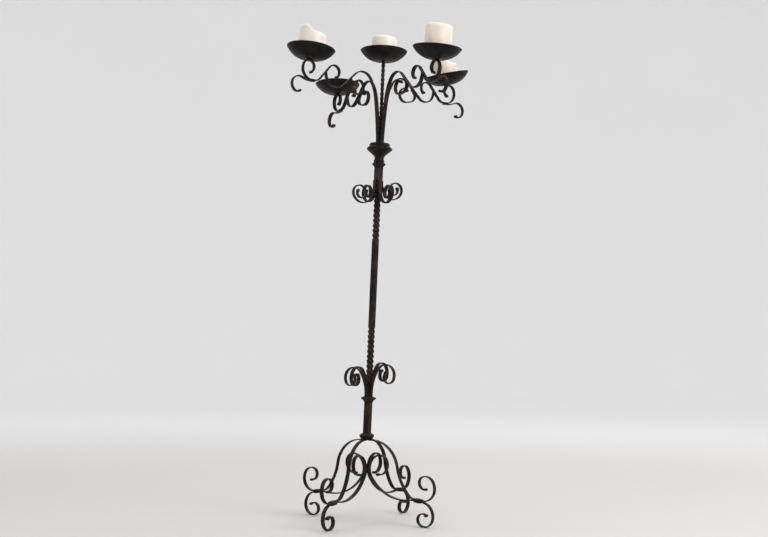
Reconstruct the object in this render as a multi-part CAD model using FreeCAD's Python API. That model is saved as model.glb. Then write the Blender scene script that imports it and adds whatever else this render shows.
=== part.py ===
"""Wrought-iron floor candelabra: four scroll legs, a twisted stem and five dishes.

Millimetres, +Z up.  The model stands on the floor at Z = 0 with the middle of its
plan at the origin.  X runs to the right and Y to the back.

The iron is flat bar and square bar.  Every flat-bar scroll is planar: its line is
described in the vertical plane through the stem as (out, up, heading), where heading
is in degrees from level and outward, turning upward.  A bend is (radius, sweep), and
a positive sweep turns to the left of the heading.
"""
import math
import os

import FreeCAD
import Part

# ---- stock ---------------------------------------------------------------------
STRAP_WIDTH = 10.0
STRAP_THICK = 3.0
STEM_SQUARE = 12.7
CENTRE_ROD_SQUARE = 7.0
LOWER_SLEEVE_SQUARE = 15.0
UPPER_SLEEVE_SQUARE = 16.5
SLEEVE_BORE = 12.8
TWIST_TURN = 46.5               # height of one full turn of a twisted bar

# ---- levels on the stem axis, before the stem leans -------------------------------
HUB_UNDERSIDE = 193.0           # the four legs meet under this level
HUB_TOP = 208.0
LOWER_RING = 281.0
LOWER_RING_TOP = 295.0
LOWER_TWIST_BOTTOM = 330.0
LOWER_TWIST_TOP = 460.0
UPPER_TWIST_BOTTOM = 668.0
UPPER_SLEEVE = 815.0
UPPER_RING = 847.0
UPPER_RING_TOP = 859.0
CUP_BOTTOM = UPPER_RING_TOP
CUP_TOP = 904.5
STEM_TOP = 880.0
ROD_BOTTOM = 895.0
CENTRE_DISH_LEVEL = 1106.0      # underside of the middle dish

LEAN = 2.5                      # degrees, stem and arms lean towards +X out of the hub
LEAN_PIVOT = FreeCAD.Vector(0, 0, 198)

# ---- directions round the stem, degrees from +X -----------------------------------
# Each leg: direction, extra reach of the bar, extra reach of the scroll inward from the
# collar, and how far the steep part of the bar is tucked in towards the stem.
LEGS = {"front_left": (239.0, 0.0, 0.0, 8.0),
        "front_right": (324.5, 1.0, 0.0, 0.0),
        "back_right": (57.0, 0.0, 0.0, 6.5),
        "back_left": (142.5, 6.0, 5.0, 4.0)}
LOWER_SLEEVE_TURN = 54.5
PLAIN_BAR_TURN = 51.0
UPPER_SLEEVE_TURN = 31.5

# Each arm: direction, how far it is bent upward at the cup, length of the flat in its
# dip, how far its S-scroll is bent upward at the weld, and how far its dish is tipped
# outward.
ARMS = {"front_left": (216.0, 0.0, 8.0, 0.0, -5.0),
        "front_right": (306.0, 0.5, 4.0, 0.0, 5.0),
        "back_right": (33.0, 2.0, 1.0, 0.0, -15.0),
        "back_left": (123.5, -2.5, 0.5, -6.0, 3.0)}

# ---- bends, in the order the smith would make them ---------------------------------
HUB_GAP = 5.5                   # half the square left between the four leg ends
HUB_STRAIGHT = 11.5
SHOULDER_RADIUS = 71.2
SHOULDER_SWEEP = 80.0
COLLAR_DIP = 6.0                # degrees below level at the collar
LEG_SHIN = [(122.8, 33), (26.1, 41)]
LEG_COLLAR_LENGTH = 20.0
LEG_CONTACT = 24.0              # straight length where a leg's two straps lie together
LEG_BAR_SCROLL = [(29.5, 134), (23.1, 70), (14.8, 184)]
LEG_SCROLL_INWARD = [(46.6, 15), (112.6, -63), (34.0, -117), (20.4, -71), (24.1, -134)]
LEG_FOOT_SCROLL = [(31.2, -94), (22.9, -111), (14.1, -205)]

LOWER_SCROLL_OUT = (STEM_SQUARE + STRAP_THICK) / 2     # against the flats of the bar
UPPER_SCROLL_OUT = 10.5                                # against its twisted corners
LOWER_SCROLL_RISE = {"back_right": 13.7, "back_left": 0.5,
                     "front_left": 3.3, "front_right": 11.3}
LOWER_STEM_SCROLL = [(93.2, -37), (25.2, -168), (14.2, -222)]
UPPER_SCROLL_DROP = {"back_right": 3.0, "back_left": 8.5,
                     "front_left": 18.5, "front_right": 18.5}
UPPER_STEM_SCROLL = [(50.2, 34), (26.8, 128), (17.2, 212), (11.4, 212)]

ARM_START_OUT = 7.4
ARM_START_LEVEL = 907.0
ARM_START_HEADING = 86.6
ARM_TRIM = 6.0
ARM_RISE = [(1130, -5.4), (114.2, -24.5), (28.4, -101.7), (0, 18.2)]
ARM_DIP_FALL = [(0, 30), (23.8, 46)]
ARM_DIP_RISE = [(23.8, 71), (82.9, 10)]
LOOP_CONTACT = 8.0
ARM_LOOP = [(14.8, -124), (0, 12.5), (17.6, -163), (8.6, -116)]

S_WELD_HEADING = -51.0          # the S-scroll slopes down and outward over the weld
S_INWARD = [(0, 17.5), (15.2, 180), (6.6, 66)]
S_OUTWARD = [(0, 24), (18.2, 51)]
S_TAIL_CONTACT = 12.0
S_SEAT = [(16.8, 27), (26.0, 92), (14.6, 227)]
ARM_TAIL = [(54.7, 24), (19.1, -170), (10.5, -94)]

# ---- turned and sheet parts --------------------------------------------------------
BORE_RADIUS = 9.1               # clears the corners of the twisted stem
HUB_BORE_RADIUS = 9.6

# Profiles of the turned parts, (radius, level) from the outer edge of the underside up to
# the outer edge of the top.  The bore closes each of them.
HUB_PROFILE = [(14.0, HUB_UNDERSIDE), (15.0, 196.0), (17.2, 199.8), (18.0, 202.0),
               (17.2, 204.0), (12.5, 206.8), (11.5, HUB_TOP)]
LOWER_RING_PROFILE = [(10.8, LOWER_RING), (12.6, 284.8), (17.6, 288.6), (18.9, 290.3),
                      (17.8, 292.0), (12.8, 294.0), (12.0, LOWER_RING_TOP)]
UPPER_RING_PROFILE = [(11.8, UPPER_RING), (13.4, 850.3), (16.1, 852.4), (17.1, 853.8),
                      (16.2, 855.3), (13.8, 857.2), (13.0, UPPER_RING_TOP)]
CUP_PROFILE = [(13.0, CUP_BOTTOM), (13.2, 861.5), (12.4, 864.0), (11.2, 867.0), (11.6, 870.5),
               (13.6, 874.0), (18.5, 878.8), (24.0, 883.3), (29.0, 887.2), (31.0, 889.8),
               (31.0, 891.6), (29.0, 894.4), (25.4, 896.8), (24.6, 897.8), (25.0, 899.2),
               (25.0, 902.0), (23.0, CUP_TOP)]
COLLAR_WALL = 2.0
COLLAR_CHAMFER = 0.8

DISH_RIM_RADIUS = 57.0
DISH_DEPTH = 26.0
DISH_FLOOR_RADIUS = 12.0
DISH_SHEET = 1.6
PRICKET_RADIUS = 2.5
PRICKET_SHANK = 16.0
PRICKET_POINT = 12.0
PRICKET_FOOT = 1.0
PRICKET_FOOT_RADIUS = 6.0
CANDLE_BEVEL = 2.5
CANDLE_BORE_CLEARANCE = 0.05
BORE_END_GAP = 0.25
MELT_SHOULDER = 5.0             # how far the top edge of a candle has melted in
POOL_RADIUS = 20.0              # hollow that the flame has left in the top
POOL_DEPTH = 5.0
WICK_RADIUS = 1.0
WICK_SHOWN = 5.5
WICK_SUNK = 6.0

# Each candle: radius, height of its top above the dish's rim, measured on its axis, the
# slope that it has burnt to (degrees about Y, positive leaves the left side high), and
# how far its highest edge stands above the height on the axis.
CANDLES = {"front_left": (31.0, 43.0, 16.0, 7.0), "front_right": (31.0, 53.5, -1.0, 0.6),
           "back_right": (30.0, 38.0, 26.0, 6.0), "centre": (30.0, 32.6, -2.5, 1.2)}

PARTS_DIR = "parts"

Z_AXIS = FreeCAD.Vector(0, 0, 1)
Y_AXIS = FreeCAD.Vector(0, 1, 0)
ORIGIN = FreeCAD.Vector(0, 0, 0)


# ---- planar strap scrolls ------------------------------------------------------------
def step(pose, bend):
    """Pose after one bend.  A bend of radius 0 is a straight of the given length."""
    out, up, heading = pose
    radius, amount = bend
    angle = math.radians(heading)
    if radius == 0:
        return (out + amount * math.cos(angle), up + amount * math.sin(angle), heading)
    side = math.copysign(radius, amount)
    end = math.radians(heading + amount)
    return (out + side * (math.sin(end) - math.sin(angle)),
            up - side * (math.cos(end) - math.cos(angle)),
            heading + amount)


def run(pose, bends):
    """Pose after a list of bends."""
    for bend in bends:
        pose = step(pose, bend)
    return pose


def shifted(pose, left):
    """Pose moved sideways to the left of its heading."""
    out, up, heading = pose
    angle = math.radians(heading)
    return (out - left * math.sin(angle), up + left * math.cos(angle), heading)


def turned_back(pose):
    """The same place, facing the other way."""
    return (pose[0], pose[1], pose[2] + 180)


def reversed_bends(bends):
    """The same line walked from its far end."""
    return [(radius, amount if radius == 0 else -amount) for radius, amount in reversed(bends)]


def point(pose, left=0.0):
    """Point in the XZ plane, to the left of the pose."""
    out, up, _ = shifted(pose, left)
    return FreeCAD.Vector(out, 0, up)


def edge_between(pose, bend, left):
    """One side of a strap over one bend."""
    radius, amount = bend
    end = point(step(pose, bend), left)
    if radius == 0:
        return Part.makeLine(point(pose, left), end)
    middle = point(step(pose, (radius, amount / 2)), left)
    return Part.Arc(point(pose, left), middle, end).toShape()


def strap(pose, bends):
    """Flat bar in the XZ plane, centred on Y = 0.  Straights of no length are skipped."""
    half = STRAP_THICK / 2
    bends = [bend for bend in bends if bend[1]]
    left_side = []
    right_side = []
    start = pose
    for bend in bends:
        left_side.append(edge_between(pose, bend, half))
        right_side.append(edge_between(pose, bend, -half))
        pose = step(pose, bend)
    caps = [Part.makeLine(point(start, half), point(start, -half)),
            Part.makeLine(point(pose, half), point(pose, -half))]
    outline = Part.Wire(Part.__sortEdges__(left_side + right_side + caps))
    face = Part.Face(outline)
    face.translate(FreeCAD.Vector(0, -STRAP_WIDTH / 2, 0))
    return face.extrude(FreeCAD.Vector(0, STRAP_WIDTH, 0))


def two_way_strap(pose, inward, middle, outward):
    """Strap with a straight middle starting at pose, run on both ways from it."""
    start = turned_back(run(turned_back(pose), inward))
    return strap(start, reversed_bends(inward) + middle + outward)


def leg_bar_bends(reach, tuck):
    """Bends of a leg bar from the hub to its collar.

    A tucked bar drops sooner and lies straight for the tuck length before the collar.
    The shoulder is tightened so that the collar stays at the same height.
    """
    sweep = math.radians(SHOULDER_SWEEP)
    dip = math.radians(COLLAR_DIP)
    tightened = tuck * math.sin(dip) / (1 - math.cos(sweep))
    straight = HUB_STRAIGHT + reach - tuck * math.cos(dip) + tightened * math.sin(sweep)
    shoulder = (SHOULDER_RADIUS - tightened, -SHOULDER_SWEEP)
    return [(0, straight), shoulder] + LEG_SHIN + [(0, tuck)]


def box_in_plane(pose, length, height, width):
    """Box lying along a pose in the XZ plane, centred on it."""
    box = Part.makeBox(length, width, height)
    box.translate(FreeCAD.Vector(-length / 2, -width / 2, -height / 2))
    box.rotate(ORIGIN, Y_AXIS, -pose[2])
    box.translate(point(pose))
    return box


def collar(middle):
    """Band wrapped round the two straps of a leg."""
    band = box_in_plane(middle, LEG_COLLAR_LENGTH, 2 * STRAP_THICK + 2 * COLLAR_WALL,
                        STRAP_WIDTH + 2 * COLLAR_WALL)
    band = band.makeChamfer(COLLAR_CHAMFER, band.Edges)
    return band.cut(box_in_plane(middle, LEG_COLLAR_LENGTH + 2, 2 * STRAP_THICK, STRAP_WIDTH))


def half_space(level, above):
    """Large block above or below a level, for trimming."""
    size = 400.0
    block = Part.makeBox(size, size, size)
    block.translate(FreeCAD.Vector(-size / 2, -size / 2, level if above else level - size))
    return block


def revolved(points):
    """Solid of revolution round Z from (radius, height) corners."""
    corners = [FreeCAD.Vector(radius, 0, height) for radius, height in points]
    face = Part.Face(Part.makePolygon(corners + [corners[0]]))
    return face.revolve(ORIGIN, Z_AXIS, 360)


def around(shape, direction):
    """Copy of a shape turned about Z to a direction."""
    copy = shape.copy()
    copy.rotate(ORIGIN, Z_AXIS, direction)
    return copy


def leaned(shape):
    """Copy of a shape leaned over with the stem."""
    copy = shape.copy()
    copy.rotate(LEAN_PIVOT, Y_AXIS, LEAN)
    return copy


# ---- square and twisted bar -----------------------------------------------------------
def square_wire(side, level, turn):
    radius = side / math.sqrt(2)
    corners = []
    for index in range(4):
        angle = math.radians(turn + 45 + 90 * index)
        corners.append(FreeCAD.Vector(radius * math.cos(angle), radius * math.sin(angle), level))
    return Part.makePolygon(corners + [corners[0]])


def plain_bar(side, bottom, top, turn):
    face = Part.Face(square_wire(side, bottom, turn))
    return face.extrude(FreeCAD.Vector(0, 0, top - bottom))


def twisted_bar(side, bottom, top, turn, twist):
    """Square bar twisted left-handed through `twist` degrees."""
    length = top - bottom
    guide = Part.makeHelix(length * 360 / twist, length, side, 0, True)
    guide.translate(FreeCAD.Vector(0, 0, bottom))
    axis = Part.Wire(Part.makeLine(FreeCAD.Vector(0, 0, bottom), FreeCAD.Vector(0, 0, top)))
    pipe = Part.BRepOffsetAPI.MakePipeShell(axis)
    pipe.setAuxiliarySpine(Part.Wire(guide.Edges), True, 0)
    pipe.add(square_wire(side, bottom, turn))
    pipe.build()
    pipe.makeSolid()
    return pipe.shape()


def twist_between(length, turn_below, turn_above):
    """Twist near the usual pitch that carries one square section onto the next."""
    rest = (turn_below - turn_above) % 90
    quarters = round((length * 360 / TWIST_TURN - rest) / 90)
    return rest + 90 * quarters


def stem_bar():
    lower = twist_between(LOWER_TWIST_TOP - LOWER_TWIST_BOTTOM, LOWER_SLEEVE_TURN,
                          PLAIN_BAR_TURN)
    upper = twist_between(UPPER_SLEEVE - UPPER_TWIST_BOTTOM, PLAIN_BAR_TURN, UPPER_SLEEVE_TURN)
    foot = plain_bar(STEM_SQUARE, HUB_UNDERSIDE - 2, LOWER_TWIST_BOTTOM, LOWER_SLEEVE_TURN)
    return foot.multiFuse([
        twisted_bar(STEM_SQUARE, LOWER_TWIST_BOTTOM, LOWER_TWIST_TOP, LOWER_SLEEVE_TURN, lower),
        plain_bar(STEM_SQUARE, LOWER_TWIST_TOP, UPPER_TWIST_BOTTOM, PLAIN_BAR_TURN),
        twisted_bar(STEM_SQUARE, UPPER_TWIST_BOTTOM, UPPER_SLEEVE, PLAIN_BAR_TURN, upper),
        plain_bar(STEM_SQUARE, UPPER_SLEEVE, STEM_TOP, UPPER_SLEEVE_TURN)])


def sleeve(side, bottom, top, turn):
    outer = plain_bar(side, bottom, top, turn)
    return outer.cut(plain_bar(SLEEVE_BORE, bottom - 1, top + 1, turn))


# ---- turned rings and cup --------------------------------------------------------------
def turned_ring(bore, profile):
    return revolved([(bore, profile[0][1])] + profile + [(bore, profile[-1][1])])


def turned_cup():
    """Necked collar, flaring cone, thin flange and top disc, bored for stem and rod."""
    body = revolved(CUP_PROFILE + [(0, CUP_TOP), (0, STEM_TOP + 0.5),
                                   (BORE_RADIUS, STEM_TOP + 0.5), (BORE_RADIUS, CUP_BOTTOM)])
    return body.cut(plain_bar(CENTRE_ROD_SQUARE, ROD_BOTTOM, CUP_TOP + 1, 0))


# ---- dishes, prickets, candles ---------------------------------------------------------
def dish_curve(inset):
    """Arc of the dish from its floor to its rim, moved inward by inset."""
    rise = DISH_DEPTH
    reach = DISH_RIM_RADIUS - DISH_FLOOR_RADIUS
    chord = math.hypot(reach, rise)
    # The bowl leaves its flat floor tangentially, so the arc's centre is above the
    # edge of the floor.
    radius = chord ** 2 / (2 * rise)
    sweep = math.asin(reach / radius)
    inner = radius - inset
    points = []
    for share in (0.0, 0.5, 1.0):
        angle = sweep * share
        points.append(FreeCAD.Vector(DISH_FLOOR_RADIUS + inner * math.sin(angle), 0,
                                     radius - inner * math.cos(angle)))
    return points


def dish():
    """Thin raised bowl with its underside on Z = 0 and its axis on Z."""
    outer = dish_curve(0.0)
    inner = dish_curve(DISH_SHEET)
    edges = [Part.makeLine(ORIGIN, outer[0]),
             Part.Arc(*outer).toShape(),
             Part.makeLine(outer[2], inner[2]),
             Part.Arc(*inner).toShape(),
             Part.makeLine(inner[0], FreeCAD.Vector(0, 0, DISH_SHEET)),
             Part.makeLine(FreeCAD.Vector(0, 0, DISH_SHEET), ORIGIN)]
    return Part.Face(Part.Wire(Part.__sortEdges__(edges))).revolve(ORIGIN, Z_AXIS, 360)


def pricket():
    """Pointed spike standing on the dish floor."""
    floor = DISH_SHEET
    foot = floor + PRICKET_FOOT
    return revolved([(0, floor), (PRICKET_FOOT_RADIUS, floor), (PRICKET_FOOT_RADIUS - 1.0, foot),
                     (PRICKET_RADIUS, foot), (PRICKET_RADIUS, foot + PRICKET_SHANK),
                     (0, foot + PRICKET_SHANK + PRICKET_POINT)])


def candle_rest(radius):
    """Height in the dish at which the lower edge of a candle comes to rest."""
    reach = DISH_RIM_RADIUS - DISH_FLOOR_RADIUS
    bowl_radius = (reach ** 2 + DISH_DEPTH ** 2) / (2 * DISH_DEPTH)
    edge = radius - CANDLE_BEVEL - DISH_FLOOR_RADIUS
    return bowl_radius - math.sqrt((bowl_radius - DISH_SHEET) ** 2 - edge ** 2)


def burnt_slope(shape, slope, heading, level):
    """Shape turned from the level top plane to the plane that a candle has burnt to."""
    shape.rotate(ORIGIN, Y_AXIS, slope)
    shape.translate(FreeCAD.Vector(0, 0, level))
    return around(shape, -heading)


def candle(radius, height, slope, crest, heading):
    """Pillar candle in a dish, burnt down, with a blind hole round its pricket."""
    bottom = candle_rest(radius)
    top = DISH_DEPTH + height
    body = revolved([(0, bottom), (radius - CANDLE_BEVEL, bottom),
                     (radius, bottom + CANDLE_BEVEL), (radius, top + crest - MELT_SHOULDER),
                     (radius - MELT_SHOULDER, top + crest), (0, top + crest)])
    body = body.cut(burnt_slope(half_space(0, True), slope, heading, top))
    pool_sphere = (POOL_RADIUS ** 2 + POOL_DEPTH ** 2) / (2 * POOL_DEPTH)
    pool = Part.makeSphere(pool_sphere, FreeCAD.Vector(0, 0, pool_sphere - POOL_DEPTH))
    body = body.cut(burnt_slope(pool, slope, heading, top))
    shank_top = DISH_SHEET + PRICKET_FOOT + PRICKET_SHANK
    bore = PRICKET_RADIUS + CANDLE_BORE_CLEARANCE
    body = body.cut(revolved([(0, 0), (bore, 0), (bore, shank_top + BORE_END_GAP),
                              (0, shank_top + PRICKET_POINT + 2 * BORE_END_GAP)]))
    return body.cut(wick(height))


def wick(height):
    """Round wick on the axis of a candle, rooted under its pool."""
    root = DISH_DEPTH + height - POOL_DEPTH - WICK_SUNK
    return Part.makeCylinder(WICK_RADIUS, WICK_SUNK + WICK_SHOWN, FreeCAD.Vector(0, 0, root))


# ---- sub-assemblies ----------------------------------------------------------------------
def leg(direction, reach, scroll_reach, tuck):
    """The bar under the hub, the scroll against it, and the collar round both."""
    start = (HUB_GAP, HUB_UNDERSIDE - STRAP_THICK / 2, 0.0)
    bends = leg_bar_bends(reach, tuck)
    contact = run(start, bends)
    bar = strap(start, bends + [(0, LEG_CONTACT)] + LEG_BAR_SCROLL)
    scroll = two_way_strap(shifted(contact, -STRAP_THICK),
                           [(0, scroll_reach)] + LEG_SCROLL_INWARD,
                           [(0, LEG_CONTACT)], LEG_FOOT_SCROLL)
    middle = shifted(step(contact, (0, LEG_CONTACT / 2)), -STRAP_THICK / 2)
    return {"leg_bar": around(bar, direction),
            "leg_scroll": around(scroll, direction),
            "leg_collar": around(collar(middle), direction)}


def stem():
    """Hub, leaning stem with its sleeves and rings, turned cup and the rod above it."""
    below_hub = half_space(HUB_UNDERSIDE, False)
    below_sleeve = half_space(HUB_TOP, False)
    lower_sleeve = sleeve(LOWER_SLEEVE_SQUARE, HUB_TOP - 2, LOWER_RING, LOWER_SLEEVE_TURN)
    upper_sleeve = sleeve(UPPER_SLEEVE_SQUARE, UPPER_SLEEVE, UPPER_RING, UPPER_SLEEVE_TURN)
    rod_twist = (CENTRE_DISH_LEVEL - CUP_TOP) * 360 / TWIST_TURN
    rod = plain_bar(CENTRE_ROD_SQUARE, ROD_BOTTOM, CUP_TOP, 0).fuse(
        twisted_bar(CENTRE_ROD_SQUARE, CUP_TOP, CENTRE_DISH_LEVEL, 0, rod_twist))
    return {"hub_ring": turned_ring(HUB_BORE_RADIUS, HUB_PROFILE),
            "stem_bar": leaned(stem_bar()).cut(below_hub),
            "lower_sleeve": leaned(lower_sleeve).cut(below_sleeve),
            "lower_ring": leaned(turned_ring(BORE_RADIUS, LOWER_RING_PROFILE)),
            "upper_sleeve": leaned(upper_sleeve),
            "upper_ring": leaned(turned_ring(BORE_RADIUS, UPPER_RING_PROFILE)),
            "stem_cup": leaned(turned_cup()),
            "centre_rod": leaned(rod)}


def stem_scrolls():
    """Small scrolls standing on the lower ring and hanging from the upper sleeve."""
    solids = {}
    for index, (corner, rise) in enumerate(LOWER_SCROLL_RISE.items()):
        lower = strap((LOWER_SCROLL_OUT, LOWER_RING_TOP, 90.0), [(0, rise)] + LOWER_STEM_SCROLL)
        upper = strap((UPPER_SCROLL_OUT, UPPER_SLEEVE, -90.0),
                      [(0, UPPER_SCROLL_DROP[corner])] + UPPER_STEM_SCROLL)
        solids[f"lower_scroll_{corner}"] = leaned(around(lower, LOWER_SLEEVE_TURN + 90 * index))
        solids[f"upper_scroll_{corner}"] = leaned(around(upper, UPPER_SLEEVE_TURN + 90 * index))
    return solids


def arm(direction, bent_up, flat, scroll_up, tipped):
    """Bar, loop, S-scroll and tail of one arm, and where its dish rests on it."""
    start = (ARM_START_OUT, ARM_START_LEVEL, ARM_START_HEADING + bent_up)
    loop_at = run(start, ARM_RISE)
    dip = ARM_DIP_FALL + [(0, flat)] + ARM_DIP_RISE
    weld = run(loop_at, dip)
    s_at = (weld[0], weld[1], S_WELD_HEADING + bent_up + scroll_up)
    trough = run(s_at, S_OUTWARD)
    s_scroll = two_way_strap(s_at, S_INWARD, [], S_OUTWARD + [(0, S_TAIL_CONTACT)] + S_SEAT)
    # The bar starts inside the cup's level and ends inside the S-scroll, then is trimmed
    # to meet both face to face.
    bar = strap(step(start, (0, -ARM_TRIM)), [(0, ARM_TRIM)] + ARM_RISE + dip)
    bar = bar.cut(half_space(CUP_TOP, False)).cut(s_scroll)
    bar = max(bar.Solids, key=lambda solid: solid.Volume)
    loop = strap(shifted(loop_at, -STRAP_THICK), [(0, LOOP_CONTACT)] + ARM_LOOP)
    tail = strap(shifted(trough, -STRAP_THICK), [(0, S_TAIL_CONTACT)] + ARM_TAIL)
    straps = {"arm_bar": bar, "arm_loop": loop, "arm_s_scroll": s_scroll, "arm_tail": tail}
    solids = {name: leaned(around(shape, direction)) for name, shape in straps.items()}
    return solids, dish_seat(trough, tipped)


def dish_seat(trough, tipped):
    """Top of the last curl of an S-scroll, where a dish tipped by an angle touches it."""
    curl = run(trough, [(0, S_TAIL_CONTACT)] + S_SEAT[:-1])
    curl_radius = S_SEAT[-1][0]
    axis = math.radians(90 - tipped)
    out_of_curl = FreeCAD.Vector(math.cos(axis), 0, math.sin(axis))
    return point(curl, curl_radius) + out_of_curl * (curl_radius + STRAP_THICK / 2)


def placed(shape, tipped, seat, direction):
    """Shape carried from its own axis to a dish's place on the leaning stem."""
    copy = shape.copy()
    copy.rotate(ORIGIN, Y_AXIS, tipped)
    copy.translate(seat)
    return leaned(around(copy, direction))


def main():
    solids = stem()
    solids.update(stem_scrolls())
    for corner, (direction, reach, scroll_reach, tuck) in LEGS.items():
        for name, shape in leg(direction, reach, scroll_reach, tuck).items():
            solids[f"{name}_{corner}"] = shape

    places = {"centre": (0.0, FreeCAD.Vector(0, 0, CENTRE_DISH_LEVEL), 0.0)}
    for corner, (direction, bent_up, flat, scroll_up, tipped) in ARMS.items():
        straps, seat = arm(direction, bent_up, flat, scroll_up, tipped)
        places[corner] = (tipped, seat, direction)
        for name, shape in straps.items():
            solids[f"{name}_{corner}"] = shape

    for corner, place in places.items():
        solids[f"dish_{corner}"] = placed(dish(), *place)
    for corner, (radius, height, slope, crest) in CANDLES.items():
        place = places[corner]
        body = candle(radius, height, slope, crest, place[2])
        solids[f"candle_{corner}"] = placed(body, *place)
        solids[f"wick_{corner}"] = placed(wick(height), *place)
    solids["prickets"] = Part.makeCompound([placed(pricket(), *place)
                                            for place in places.values()])

    # Stand the feet on the floor and bring the middle of the plan to the origin.
    whole = Part.makeCompound(list(solids.values())).optimalBoundingBox(False)
    move = FreeCAD.Vector(-whole.Center.x, -whole.Center.y, -whole.ZMin)
    os.makedirs(PARTS_DIR, exist_ok=True)
    for name, shape in solids.items():
        shape.translate(move)
        shape.exportStep(os.path.join(PARTS_DIR, f"{name}.step"))


main()
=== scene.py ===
"""Looks of a wrought-iron floor candelabra with five dishes and four pillar candles.

The iron is drawn again over its CAD solids as hand-forged bar: the same bends, with
rounded edges, hammer marks and upset ends.  The dishes are planished sheet, and the
candles are wax with burnt-down tops.  Lengths below are millimetres until a mesh is
written, because that is how the smith measures; every mesh is in metres.
"""
import itertools
import math

import bmesh
import bpy
from mathutils import Matrix, Vector, noise


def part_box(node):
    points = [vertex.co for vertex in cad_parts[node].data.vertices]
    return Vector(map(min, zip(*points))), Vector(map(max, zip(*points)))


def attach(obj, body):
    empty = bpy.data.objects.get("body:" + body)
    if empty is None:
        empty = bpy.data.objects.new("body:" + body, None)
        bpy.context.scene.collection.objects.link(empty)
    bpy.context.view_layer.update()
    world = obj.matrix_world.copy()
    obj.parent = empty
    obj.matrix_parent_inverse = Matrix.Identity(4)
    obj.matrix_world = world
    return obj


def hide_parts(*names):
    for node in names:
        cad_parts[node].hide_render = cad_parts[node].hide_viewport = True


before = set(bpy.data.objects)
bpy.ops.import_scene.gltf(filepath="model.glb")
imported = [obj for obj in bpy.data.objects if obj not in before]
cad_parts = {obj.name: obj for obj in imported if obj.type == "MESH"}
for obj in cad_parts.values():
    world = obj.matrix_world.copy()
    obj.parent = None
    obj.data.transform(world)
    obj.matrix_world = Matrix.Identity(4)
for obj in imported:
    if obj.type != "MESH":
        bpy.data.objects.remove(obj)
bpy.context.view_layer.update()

MM = 0.001

# ---- stock -------------------------------------------------------------------------
STRAP_WIDTH = 10.0
STRAP_THICK = 3.0
STEM_SQUARE = 12.7
CENTRE_ROD_SQUARE = 7.0
LOWER_SLEEVE_SQUARE = 15.0
UPPER_SLEEVE_SQUARE = 16.5
SLEEVE_BORE = 12.8
TWIST_TURN = 46.5               # rise of the twisted bars in one turn
STRAP_CORNER = 0.9
STRAP_SPACING = 1.8             # between the sections of its mesh
KNOB_RADIUS = 3.3               # of the knob into which a free strap end is upset
END_WORKED = 10.0               # length of strap that thickens into the knob
END_SOFTENED = 2.0              # length over which any end narrows a little
COLLAR_SEAM_DEPTH = 0.7

# Hammer marks: how far apart they lie, and how deep they are.
STRAP_DENTS = (8.5, 0.24)
SQUARE_BAR_DENTS = (10.0, 0.16)
BAND_DENTS = (6.0, 0.25)
TURNED_DENTS = (7.0, 0.25)
DISH_DENTS = (11.0, 0.4)
PRICKET_DENTS = (4.0, 0.12)

# ---- levels on the stem axis -----------------------------------------------------------
HUB_UNDERSIDE = 193.0
HUB_TOP = 208.0
LOWER_RING = 281.0
LOWER_RING_TOP = 295.0
LOWER_TWIST_BOTTOM = 330.0
LOWER_TWIST_TOP = 460.0
UPPER_TWIST_BOTTOM = 668.0
UPPER_SLEEVE = 815.0
UPPER_RING = 847.0
UPPER_RING_TOP = 859.0
CUP_TOP = 904.5
STEM_TOP = 880.0
ROD_BOTTOM = 895.0
CENTRE_DISH_LEVEL = 1106.0
LEAN = 2.5
LEAN_PIVOT = Vector((0, 0, 198))

# ---- directions round the stem, in degrees, and bends, as (radius, sweep) ------------------
# Each leg: direction, extra reach of the bar, extra reach of the scroll inward from the
# collar, and how far the steep part of the bar is tucked in towards the stem.
LEGS = {"front_left": (239.0, 0.0, 0.0, 8.0),
        "front_right": (324.5, 1.0, 0.0, 0.0),
        "back_right": (57.0, 0.0, 0.0, 6.5),
        "back_left": (142.5, 6.0, 5.0, 4.0)}
LOWER_SLEEVE_TURN = 54.5
PLAIN_BAR_TURN = 51.0
UPPER_SLEEVE_TURN = 31.5

# Each arm: direction, how far it is bent upward at the cup, length of the flat in its
# dip, how far its S-scroll is bent upward at the weld, and how far its dish is tipped
# outward.
ARMS = {"front_left": (216.0, 0.0, 8.0, 0.0, -5.0),
        "front_right": (306.0, 0.5, 4.0, 0.0, 5.0),
        "back_right": (33.0, 2.0, 1.0, 0.0, -15.0),
        "back_left": (123.5, -2.5, 0.5, -6.0, 3.0)}

HUB_GAP = 5.5                   # half the square left between the four leg ends
HUB_STRAIGHT = 11.5
SHOULDER_RADIUS = 71.2
SHOULDER_SWEEP = 80.0
COLLAR_DIP = 6.0                # degrees below level at the collar
LEG_SHIN = [(122.8, 33), (26.1, 41)]
LEG_CONTACT = 24.0              # straight length where a leg's two straps lie together
LEG_COLLAR_LENGTH = 20.0
LEG_BAR_SCROLL = [(29.5, 134), (23.1, 70), (14.8, 184)]
LEG_SCROLL_INWARD = [(46.6, 15), (112.6, -63), (34.0, -117), (20.4, -71), (24.1, -134)]
LEG_FOOT_SCROLL = [(31.2, -94), (22.9, -111), (14.1, -205)]

LOWER_SCROLL_OUT = (STEM_SQUARE + STRAP_THICK) / 2
UPPER_SCROLL_OUT = 10.5
LOWER_SCROLL_RISE = {"back_right": 13.7, "back_left": 0.5,
                     "front_left": 3.3, "front_right": 11.3}
LOWER_STEM_SCROLL = [(93.2, -37), (25.2, -168), (14.2, -222)]
UPPER_SCROLL_DROP = {"back_right": 3.0, "back_left": 8.5,
                     "front_left": 18.5, "front_right": 18.5}
UPPER_STEM_SCROLL = [(50.2, 34), (26.8, 128), (17.2, 212), (11.4, 212)]

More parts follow.
